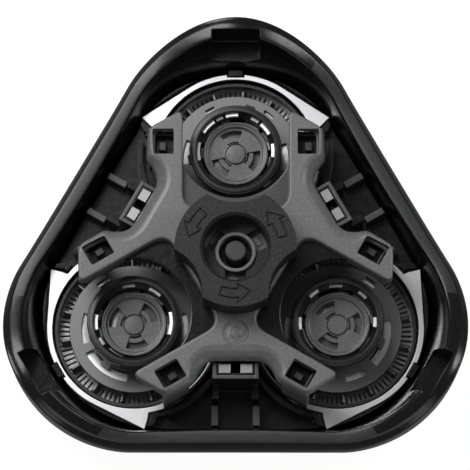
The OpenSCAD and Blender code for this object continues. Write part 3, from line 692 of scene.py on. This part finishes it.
# Rings go from the front face out over the widest line, across the rim strip and down inside to the floor.
# The rim's height, the widest line and the wall's foot change from side to corner with the climb.
# Flat sheets with three openings close the front and the floor
def makeHousing(h):
    n, front, floor, roll, e = (h[key] for key in ("steps", "front", "floor", "roll", "tight"))
    angle = np.arange(n) * 2 * math.pi / n
    reach = outlineReach(angle, h)
    rimClimb, widestClimb, footClimb = (climb(angle, power) for power in h["climbs"])
    rim = h["rimSide"] + (h["rimCorner"] - h["rimSide"]) * rimClimb
    widest = rim - h["widestDrop"] + h["widestLift"] * widestClimb
    inner = roll + h["strip"]
    foot = inner + h["footSide"] + (h["footCorner"] - h["footSide"]) * footClimb
    rings = [                                  # step inward, height
        (4.4 * mm, front), (3.4 * mm + e, front), (3.4 * mm - e, front + e * 0.5),
        (1.53 * mm, front + 0.9 * mm), (0.41 * mm, front + 2.9 * mm),
        (0.03 * mm, widest - 0.6 * mm), (0.0, widest), (0.05 * mm, widest + 0.45 * mm),
        (0.4 * mm, rim - (rim - widest) * 0.4), (roll - 0.35 * mm, rim - 0.06 * mm),
        (roll, rim), (inner - e, rim), (inner + e * 0.6, rim - e),
        (inner + 0.45 * mm, rim - 1.2 * mm), (inner + (foot - inner) * 0.4, rim - (rim - floor) * 0.3),
        (foot - 0.2 * mm, floor + 0.7 * mm), (foot, floor + e), (foot + 0.4 * mm, floor),
    ]
    body = roundRings(np.array([ringAt(angle, reach, a, z) for a, z in rings]), h["roundTimes"])
    flat = np.abs(body[:, :, 2] - rim) < 0.05 * mm
    fromSide = np.abs((np.degrees(angle) - 30 + 60) % 120 - 60)
    onStrip = (flat[:-1] & flat[1:]) & (fromSide < h["stripDeg"])
    parts = [(body.reshape(-1, 3), loopQuads(len(body), n).tolist(), onStrip.astype(int).reshape(-1))]
    holes = [circlePoints(h["opening"], h["holeSteps"]) + c for c in headPlaces]

    def inside(mid):
        away = np.min([np.hypot(*(mid - c).T) for c in headPlaces], 0)
        edge = outlineReach(np.arctan2(mid[:, 1], mid[:, 0]), h)
        return (away > h["opening"] * 0.9995) & (np.hypot(*mid.T) < edge - h["sheetEdge"])

    for z, ring, flip in ((front, body[0], True), (floor, body[-1], False)):
        pts, tri = flatSheet([ring[:, :2]] + holes, z, inside)
        parts.append((pts, (tri[:, ::-1] if flip else tri).tolist(), 0))
    parts += [upright(loop, front, floor, 0) for loop in holes]
    points, faces, finishes = joinParts(parts)
    shell = makeMesh("housingShell", points, faces, [housingBlack, rimSatin], finishes)
    cutPockets(shell, h["pocket"])
    shell.data.set_sharp_from_angle(angle=math.radians(h["sharpDeg"]))
    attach(shell, "housing")
    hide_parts("housing_shell")


makeHousing(housing)
print("housing built")

headReach = float(np.hypot(*headPlaces[0]))
frameTop = boxSize("retaining_frame")[1][2] - 1.65 * mm    # the box ends at the sleeve's lip

retainer = {
    "top": frameTop,
    "under": frameTop - 1.3 * mm,
    "foot": frameTop - 2.5 * mm,               # the flange's edge
    "prongOut": 12.5 * mm,                     # head's middle line to a prong's outer side
    "forkHalf": 7.65 * mm,
    "slotFloor": 6.9 * mm,
    "slotRound": 2.0 * mm,
    "shoulder": headReach + 2.1 * mm,
    "tip": headReach + 4.3 * mm,
    "hollow": (14.2 * mm, 6.3 * mm, 3.4 * mm),    # reach, half width, rounding
    "sideFlare": 0.35,                         # how much of the flange shows along a prong's side
    "window": (10.5 * mm, headReach - 0.2 * mm, (3.2 * mm, 3.7 * mm), 0.25 * mm),    # place, size, rounding
    "web": (8.2 * mm, 8.0 * mm, 6.5 * mm),     # cut round the head, half width, near side
    "sleeve": (2.4 * mm, 2.7 * mm),            # bore and outside
    "lip": frameTop + 1.35 * mm,
    "dimple": (11.4 * mm, 1.85 * mm, 0.26 * mm),    # reach, radius, depth
    "nub": np.array([(0.001, 0.2), (0.3, 0.19), (0.65, 0.16), (0.75, 0.05), (0.85, 0)]) * mm,
    "pad": (3.3 * mm, 4.1 * mm, 260, 280),     # inner and outer radius, from and to angle
    "step": 0.45 * mm,
    "smooth": (3, 12),                         # times for the outline and for its flare
    # blocks on both sides of a fork, in mm: place from the head's middle, size, from and to over the foot,
    # corner, and the finish
    "blocks": [
        (10.5, -0.2, 3.7, 4.2, -0.9, -0.6, 0.3, 1),      # dark cup under a window
        (10.5, -0.45, 1.0, 1.3, -0.7, 0.5, 0.15, 2),     # tab that stands in it
        (10.5, 1.35, 3.6, 0.7, -0.7, 0.7, 0.1, 1),       # bar at its far side
        (12.2, 0, 0.6, 4.2, -8.2, 1.2, 0.12, 0),         # leg
        (8.05, 0, 0.8, 7.2, -0.6, 1.3, 0.12, 0),         # rib beside the fork
    ],
}


# Half a fork's outline, from the middle of a hollow round one prong to the middle of the fork
def halfFork(r):
    bottom, half, rnd = r["hollow"]
    out, inner, floor, slotR = r["prongOut"], r["forkHalf"], r["slotFloor"], r["slotRound"]
    hollow = np.concatenate([
        spaced([(bottom, 0), (bottom, half - rnd)], r["step"]),
        arcPoints((bottom + rnd, half - rnd), rnd, 180, 90, 14),
    ])
    hollow = turnedPoints(hollow, 30)
    meetY = (half + out * math.sin(math.radians(30))) / math.cos(math.radians(30))
    prong = spaced([
        hollow[-1], (out, meetY), (out, r["shoulder"] - 0.5 * mm),
        (out - 0.5 * mm, r["shoulder"] + 0.1 * mm), (inner + 0.5 * mm, r["tip"]),
        (inner, r["tip"] - 0.2 * mm), (inner, floor + slotR),
    ], r["step"])[1:]
    slot = arcPoints((inner - slotR, floor + slotR), slotR, 0, -90, 9)
    across = spaced([slot[-1], (0, floor)], r["step"])[1:]
    path = np.concatenate([hollow, prong, slot, across])
    weight = np.concatenate([np.ones(len(hollow)), np.zeros(len(path) - len(hollow))])
    weight[(path[:, 0] > out - 0.01 * mm) & (weight == 0)] = r["sideFlare"]
    return path, weight


# The frame is a plate whose outline is half a fork, mirrored and turned three times, then smoothed.
# Its edge flares to a flange where the weight is 1. Windows, web, blocks, sleeve and dimple are added
def makeRetainer(r):
    path, weight = halfFork(r)
    mirrored = path[::-1][1:-1] * np.array([-1, 1])
    third = np.concatenate([path, np.array([[0, r["slotFloor"]]]), mirrored])
    thirdWeight = np.concatenate([weight, [0], weight[::-1][1:-1]])
    loop = np.concatenate([turnedPoints(third, d) for d in (0, 120, 240)])
    weights = np.tile(thirdWeight, 3)
    loopTimes, flareTimes = r["smooth"]
    for _ in range(loopTimes):
        loop = (np.roll(loop, 1, 0) + 2 * loop + np.roll(loop, -1, 0)) / 4
    for _ in range(flareTimes):
        weights = (np.roll(weights, 1) + weights + np.roll(weights, -1)) / 3
    top, under, foot = r["top"], r["under"], r["foot"]
    x, y, size, corner = r["window"]
    holes = [turnedPoints(roundedBox((s * x, y), size, corner, 5), d)
             for d in (0, 120, 240) for s in (-1, 1)]
    bore, outside = r["sleeve"]
    dimpleReach, dimpleR, deep = r["dimple"]
    holes += [circlePoints(bore, 72), circlePoints(dimpleR, 48) + [0, -dimpleReach]]
    profile = [                                # out, out with flare, height, drop with flare
        (-0.9 * mm, 0, under, 0), (-0.9 * mm, 0, foot + 0.25 * mm, 0), (-0.6 * mm, 0.7 * mm, foot, 0),
        (-0.05 * mm, 0.85 * mm, foot, 0), (0, 0.9 * mm, foot + 0.3 * mm, 0),
        (0, 0.75 * mm, foot + 1.0 * mm, 0), (0, 0.35 * mm, top - 0.75 * mm, 0.2 * mm),
        (0, 0, top - 0.3 * mm, 0.35 * mm), (-0.05 * mm, -0.25 * mm, top - 0.12 * mm, 0.2 * mm),
        (-0.14 * mm, -0.5 * mm, top - 0.03 * mm, 0.08 * mm), (-0.3 * mm, -0.8 * mm, top, 0),
    ]
    parts = plate(loop, profile, holes, weights)
    nub = [*(r["nub"] + [0, top - deep]), (dimpleR - 0.25 * mm, top - deep), (dimpleR, top)]
    parts += turned(nub, (0, -dimpleReach), 48)
    lip = r["lip"]
    parts += turned([
        (outside, top - 0.1 * mm), (outside, lip), (outside + 0.2 * mm, lip + 0.05 * mm),
        (outside + 0.25 * mm, lip + 0.18 * mm), (outside + 0.14 * mm, lip + 0.3 * mm),
        (bore + 0.06 * mm, lip + 0.3 * mm), (bore, lip + 0.22 * mm), (bore, top - 2.0 * mm),
    ])
    webR, half, near = r["web"]
    meet = math.degrees(math.asin(half / webR))
    arc = arcPoints((0, headReach), webR, -90 + meet, -90 - meet, 48)
    web = np.concatenate([spaced([arc[-1], (-half, near), (half, near), arc[0]], 0.6 * mm), arc])
    webProfile = [(0, 0, foot, 0), (0, 0, under - 0.2 * mm, 0), (-0.05 * mm, 0, under - 0.05 * mm, 0),
                  (-0.2 * mm, 0, under, 0)]
    for d in (0, 120, 240):
        for s in (-1, 1):
            for *sizes, finish in r["blocks"]:
                across, along, wide, long, low, high, corner = np.array(sizes) * mm
                mid = turnedPoints([[s * across, headReach + along]], d)[0]
                parts += block(mid, (wide, long), foot + low, foot + high, corner, d, finish=finish)
        # web across the closed end of the fork, cut round the head, grey at the first fork and near-black at
        # the other two as painted shade, and a low pad under the lock disc
        parts += plate(turnedPoints(web, d), webProfile, finish=2 if d == 0 else 1)
        pad = turnedPoints(sector(*r["pad"], 8), d)
        parts += plate(pad, [(0, 0, top - 0.1 * mm, 0), (0, 0, top + 0.12 * mm, 0)])
    finishPiece("retainingFrame", parts, [frameGrey, carrierBlack, webGrey], "housing", ["retaining_frame"])


makeRetainer(retainer)
print("retaining frame built")

cutterTurn = {"a": 12, "b": 188, "c": 275}     # degrees at which each cutter stands

hub = {
    "dish": 6.45 * mm,
    "recess": (1.72 * mm, 3.55 * mm, 27.0, 1.1 * mm),    # inner and outer radius, half angle, depth
    "ridge": (1.95 * mm, 2.55 * mm, 30.0, 0.25 * mm),
    "wall": (0.6, 0.05 * mm),                  # how wide a recess's sides are, in degrees and along a radius
    "rim": np.array([                          # radius and height, over the rim and down to the dish
        (4.7, 3.9), (4.7, 7.02), (4.66, 7.14), (4.56, 7.2), (4.42, 7.2), (4.36, 7.14), (4.34, 6.98),
        (4.24, 6.96), (4.2, 7.02), (4.12, 7.05), (4.04, 7.02), (3.98, 6.9), (3.86, 6.55), (3.78, 6.46),
    ]) * mm,
    "button": np.array([                       # with heights over the dish
        (1.62, 0.02), (1.52, -0.25), (1.45, -0.25), (1.4, 0.05), (1.32, 0.14), (0.7, 0.18), (0.001, 0.19),
    ]) * mm,
    "flange": np.array([(4.7, 2.85), (6.3, 2.85), (6.3, 3.45), (4.7, 3.45)]) * mm,
    "base": np.array([(1.1, 1.05), (4.7, 1.05), (4.7, 3.95)]) * mm,
}


# The hub is a turned form whose dish drops in three recesses, with a ridge across each: height = dish less
# the depth where radius and angle lie inside. A recess is shallower towards the middle
def makeHub(h, letter, centre):
    r0, r1, half, deep = h["recess"]
    q0, q1, ridgeHalf, ridgeDeep = h["ridge"]
    wallDeg, t = h["wall"]
    cuts = [mid + s * (reach + k * wallDeg) for reach in (half, ridgeHalf) for mid in (90, 210, 330)
            for s in (-1, 1) for k in (0, 1)]
    deg = np.unique(np.round(np.concatenate([np.arange(0, 360, 3.75), np.mod(cuts, 360)]), 3))
    dish = [(r, h["dish"]) for r in (r1 + t, r1, r1 - t * 4, q1 + t, q1, q0, q0 - t, r0, r0 - t)]
    profile = np.concatenate([h["rim"], dish, h["button"] + [0, h["dish"]]])
    rad = profile[:, :1]
    z = profile[:, 1:] + np.zeros((1, len(deg)))
    off = np.abs((deg[None, :] - 90 + 60) % 120 - 60)
    inRecess = (rad <= r1) & (rad >= r0) & (off <= half + 0.01)
    onRidge = (rad <= q1) & (rad >= q0) & (off <= ridgeHalf + 0.01)
    slope = np.clip((rad - r0) / (r1 - r0), 0, 1) * 0.35 + 0.65
    z = np.where(inRecess, z - np.where(onRidge, ridgeDeep, deep * slope), z)
    a = np.radians(deg[None, :] + cutterTurn[letter])
    pts = np.stack([centre[0] + rad * np.cos(a), centre[1] + rad * np.sin(a), z], -1)
    parts = [(pts.reshape(-1, 3), loopQuads(len(profile), len(deg)).tolist(), 0)]
    parts += turned(h["flange"], centre, 72) + turned(h["base"], centre, 72)
    finishPiece("driveHub_" + letter, parts, [hubGrey], "cutter_" + letter, ["drive_hub_" + letter],
                30)


collar = {
    "ring": (5.7 * mm, 6.7 * mm), "foot": (5.15 * mm, 5.7 * mm), "top": 9.25 * mm, "base": 3.85 * mm,
    "edge": 0.12 * mm, "corner": 0.12 * mm,
    "tabs": (20, 95, 140, 215, 260, 335),
    "tabSize": (0.7 * mm, 1.5 * mm), "tabReach": 5.15 * mm, "tabTops": (6.4 * mm, 6.65 * mm),
    "snaps": (60, 180, 300),
    "snapSize": (0.56 * mm, 1.5 * mm), "snapOut": 0.02 * mm, "snapCorner": 0.15 * mm,
    "segments": (5, 50, 118, 165, 232, 290),
    "segmentHalf": (9, 14, 19), "segmentRing": (4.74 * mm, 5.1 * mm), "segmentTop": 6.25 * mm,
}


# A point at a reach and an angle from a centre
def radial(centre, reach, deg):
    a = math.radians(deg)
    return np.array(centre) + reach * np.array([math.cos(a), math.sin(a)])


# The collar is a turned ring with a foot, tabs inside its foot, three snaps outside, and bright segments
# down in the gap between hub and collar
def makeCollar(c, letter, centre):
    (i1, o1), (i0, o0) = c["ring"], c["foot"]
    top, base, e = c["top"], c["base"], c["edge"]
    turn = cutterTurn[letter]
    parts = turned([
        (i0, base), (o0, base), (o0, top - 1.5 * mm), (o1 - e, top - 0.95 * mm), (o1, top - 0.8 * mm),
        (o1, top - 0.3 * mm), (o1 - e, top - 0.12 * mm), (o1 - 0.3 * mm, top - 0.1 * mm),
        (o1 - 0.36 * mm, top - 0.02 * mm), (o1 - 0.42 * mm, top), (i1 + e, top), (i1, top - e),
        (i1, top - 0.9 * mm), (i0, top - 1.5 * mm), (i0, base),
    ], centre, 120)
    for k, deg in enumerate(c["tabs"]):
        parts += block(radial(centre, c["tabReach"], deg + turn), c["tabSize"], base, c["tabTops"][k % 2],
                       c["corner"], deg + turn, finish=1 + k % 2)
    for deg in c["snaps"]:
        parts += block(radial(centre, o1 + c["snapOut"], deg + turn), c["snapSize"], top - 0.85 * mm,
                       top - 0.28 * mm, c["snapCorner"], deg + turn)
    for k, deg in enumerate(c["segments"]):
        half = c["segmentHalf"][k % 3]
        loop = sector(*c["segmentRing"], deg + turn - half, deg + turn + half, 10) + centre
        parts += plate(loop, edged(base, c["segmentTop"], 0.05 * mm, 0.05 * mm), finish=3)
    finishPiece("bladeCollar_" + letter, parts, [collarBlack, frameGrey, hubGrey, clipSteel],
                "cutter_" + letter, ["blade_collar_" + letter], 30)


# Details of the carrier and housing that lie over the CAD solids; the caps on towers and ribs carry a
# painted highlight
trims = {
    "towerTop": 12.0 * mm, "towerReach": (15.1 * mm, 17.5 * mm), "towerHalf": 3.3 * mm, "bracket": 0.55 * mm,
    "corner": 0.1 * mm,
    # ribs: place across, near and far side, width, foot and top
    "sideRib": (3.0 * mm, 20.0 * mm, 23.0 * mm, 1.0 * mm, 2.9 * mm, 5.25 * mm),
    "cornerRib": (1.4 * mm, 30.7 * mm, 32.6 * mm, 0.95 * mm, 2.2 * mm, 6.4 * mm),
    # walls beside a head: inner and outer radius, foot and top, and the angles between which they stand
    "clampWall": (12.15 * mm, 12.75 * mm, 3.0 * mm, 5.6 * mm, 98, 128),
}


# Two ribs on either side of a line that is turned about the axis
def ribPair(rib, corner, deg):
    across, near, far, width, foot, top = rib
    places = turnedPoints([[s * across, (near + far) / 2] for s in (-1, 1)], deg)
    return sum([block(p, (width, far - near), foot, top, corner, deg) for p in places], [])


# Thin caps on towers and ribs in a lighter grey, a painted highlight on the same black plastic, and curved
# walls beside the heads: sectors of a ring round each head
def makeTrims(t):
    near, far = t["towerReach"]
    half, w, z, corner = t["towerHalf"], t["bracket"], t["towerTop"], t["corner"]
    parts = []
    for d in (180, 300, 60):
        parts += ribPair((half - w / 2, near, far, w, z - 0.3 * mm, z + 0.1 * mm), corner, d)
        mid = turnedPoints([[0, far - w / 2]], d)[0]
        parts += block(mid, (2 * half, w), z - 0.3 * mm, z + 0.12 * mm, corner, d)
        parts += ribPair(t["sideRib"], corner, d)
    for d in (0, 120, 240):
        parts += ribPair(t["cornerRib"], corner, d)
    finishPiece("ribHighlightCaps", parts, [ribHighlightGrey], "housing", [])
    walls = []
    inner, outer, foot, top, a0, a1 = t["clampWall"]
    for d, centre in zip((90, 210, 330), headPlaces):
        for b0, b1 in ((d - a1, d - a0), (d + a0, d + a1)):
            loop = sector(inner, outer, b0, b1, 24) + centre
            walls += plate(loop, edged(foot, top, 0.1 * mm, 0.1 * mm))
    finishPiece("clampWalls", walls, [carrierBlack], "housing", [])


makeTrims(trims)
print("trims built")

disc = {
    "outer": 9.4 * mm, "bore": 4.75 * mm, "foot": 3.5 * mm, "top": 3.85 * mm, "edge": 0.08 * mm,
    "blades": 15, "bladeWide": 0.4 * mm,
    "blade": (8.8 * mm, 10.65 * mm, 0.42 * mm, 2.38 * mm),    # inner and outer radius, foot and top
    "shank": (9.05 * mm, 0.5 * mm, 2.3 * mm),                 # reach, length, foot
    "backing": np.array([
        (6.6, 2.6), (8.7, 2.6), (8.7, 3.15), (8.6, 3.2), (6.7, 3.2), (6.6, 3.15), (6.6, 2.6),
    ]) * mm,
    # windows in mm: the outer radius, then stretches from angle to angle with their inner radius
    "windows": {
        "a": ((7.7, (158, 186, 6.5)), (7.7, (-14, 18, 6.6)), (7.7, (252, 288, 6.6)),
              (8.5, (48, 60, 8.0)), (8.5, (112, 122, 8.0))),
        "b": ((7.65, (162, 176, 6.9), (176, 197, 6.3)),
              (7.85, (207, 226, 6.2), (226, 238, 7.1), (238, 262, 6.2)),
              (7.85, (-36, -22, 6.2), (-22, 18, 6.9)), (8.6, (116, 130, 8.0))),
        "c": ((7.9, (-44, -24, 6.2), (-24, -12, 7.2), (-12, 10, 6.8)), (7.9, (-80, -57, 7.0)),
              (8.9, (48, 62, 8.0)), (7.5, (165, 192, 6.7))),
    },
}


# The disc is a round plate with a bore and arc windows, whose blades hang on shanks all round
def makeBladeDisc(s, letter, centre):
    foot, top, edge = s["foot"], s["top"], s["edge"]
    holes = [circlePoints(s["bore"], 72) + centre]
    for outer, *steps in s["windows"][letter]:
        start, end = steps[0][0], steps[-1][1]
        hole = [arcPoints((0, 0), outer * mm, start, end, max(6, int((end - start) / 2.5)))]
        hole += [arcPoints((0, 0), r * mm, a1 - 0.2, a0 + 0.2, max(4, int((a1 - a0) / 2.5)))
                 for a0, a1, r in steps[::-1]]
        holes.append(np.concatenate(hole) + centre)
    parts = plate(circlePoints(s["outer"], 144) + centre, edged(foot, top, edge, edge), holes)
    near, far, low, high = s["blade"]
    reach, length, shankFoot = s["shank"]
    wide = s["bladeWide"]
    for deg in cutterTurn[letter] + np.arange(s["blades"]) * 360 / s["blades"]:
        parts += block(radial(centre, reach, deg), (length, wide), shankFoot, foot, edge, deg)
        parts += block(radial(centre, (near + far) / 2, deg), (far - near, wide), low, high, edge, deg)
    mat = nodes["blade_disc_" + letter].data.materials[0]
    finishPiece("bladeDisc_" + letter, parts, [mat], "cutter_" + letter, ["blade_disc_" + letter],
                30)


# A bright turned ring under the windows
def makeBacking(s, letter, centre):
    ring = turned(s["backing"], centre, 120)
    finishPiece("bladeBacking_" + letter, ring, [backSteel], "cutter_" + letter, [])


# Tabs that show between hub and collar, bright steel where a painted highlight stands and grey steel
# elsewhere: from, to, finish
tabs = {
    "ring": (5.16 * mm, 5.68 * mm), "foot": 7.7 * mm, "tops": (8.5 * mm, 8.42 * mm),
    "spans": {
        "a": ((125, 150, 0), (86, 106, 0), (110, 122, 1), (52, 66, 1), (27, 48, 0), (-10, 12, 0),
              (165, 195, 1)),
        "b": ((45, 66, 1), (88, 108, 1), (-20, 16, 0), (168, 192, 0), (205, 218, 1)),
        "c": ((120, 137, 0), (82, 103, 1), (40, 56, 1), (172, 192, 0), (-8, 8, 0)),
    },
}


# Each tab is a short sector of a ring
def makeTabs(t, letter, centre):
    parts = []
    for a0, a1, finish in t["spans"][letter]:
        profile = edged(t["foot"], t["tops"][finish], 0.05 * mm, 0.06 * mm)
        # finish 0 is the bright steel of the painted highlight, finish 1 the grey steel
        parts += plate(sector(*t["ring"], a0, a1, 14) + centre, profile, finish=finish)
    finishPiece("hubTabs_" + letter, parts, [backSteel, clipSteel], "cutter_" + letter, [])


# Painted highlights: bright steel dashes along the ring's edge by the axis stand in for light seen through
# the guard's slots from behind
paintedSlotLight = {
    "ring": (11.04 * mm, 11.26 * mm), "foot": 3.25 * mm, "top": 3.36 * mm, "pitch": 2.6, "wide": 1.7,
    "spans": {"b": ((33, 50), (3, 17)), "c": ((130, 147), (163, 177))},
}


# Each dash is a narrow sector of a ring, one pitch from the next
def makePaintedSlotLight(s, letter, centre):
    parts = []
    for start, end in s["spans"][letter]:
        for a0 in np.arange(start, end, s["pitch"]):
            loop = sector(*s["ring"], a0, a0 + s["wide"], 4) + centre
            parts += plate(loop, [(0, 0, s["foot"], 0), (0, 0, s["top"], 0)])
    finishPiece("paintedSlotGlints_" + letter, parts, [backSteel], "head_" + letter, [])


for h, centre in zip(heads, headPlaces):
    makeBladeDisc(disc, h, centre)
    makeTabs(tabs, h, centre)
    if h in paintedSlotLight["spans"]:
        makePaintedSlotLight(paintedSlotLight, h, centre)
    makeBacking(disc, h, centre)
    makeHub(hub, h, centre)
    makeCollar(collar, h, centre)
print("hubs, collars and discs built")

bpy.context.scene.view_settings.view_transform = "Standard"
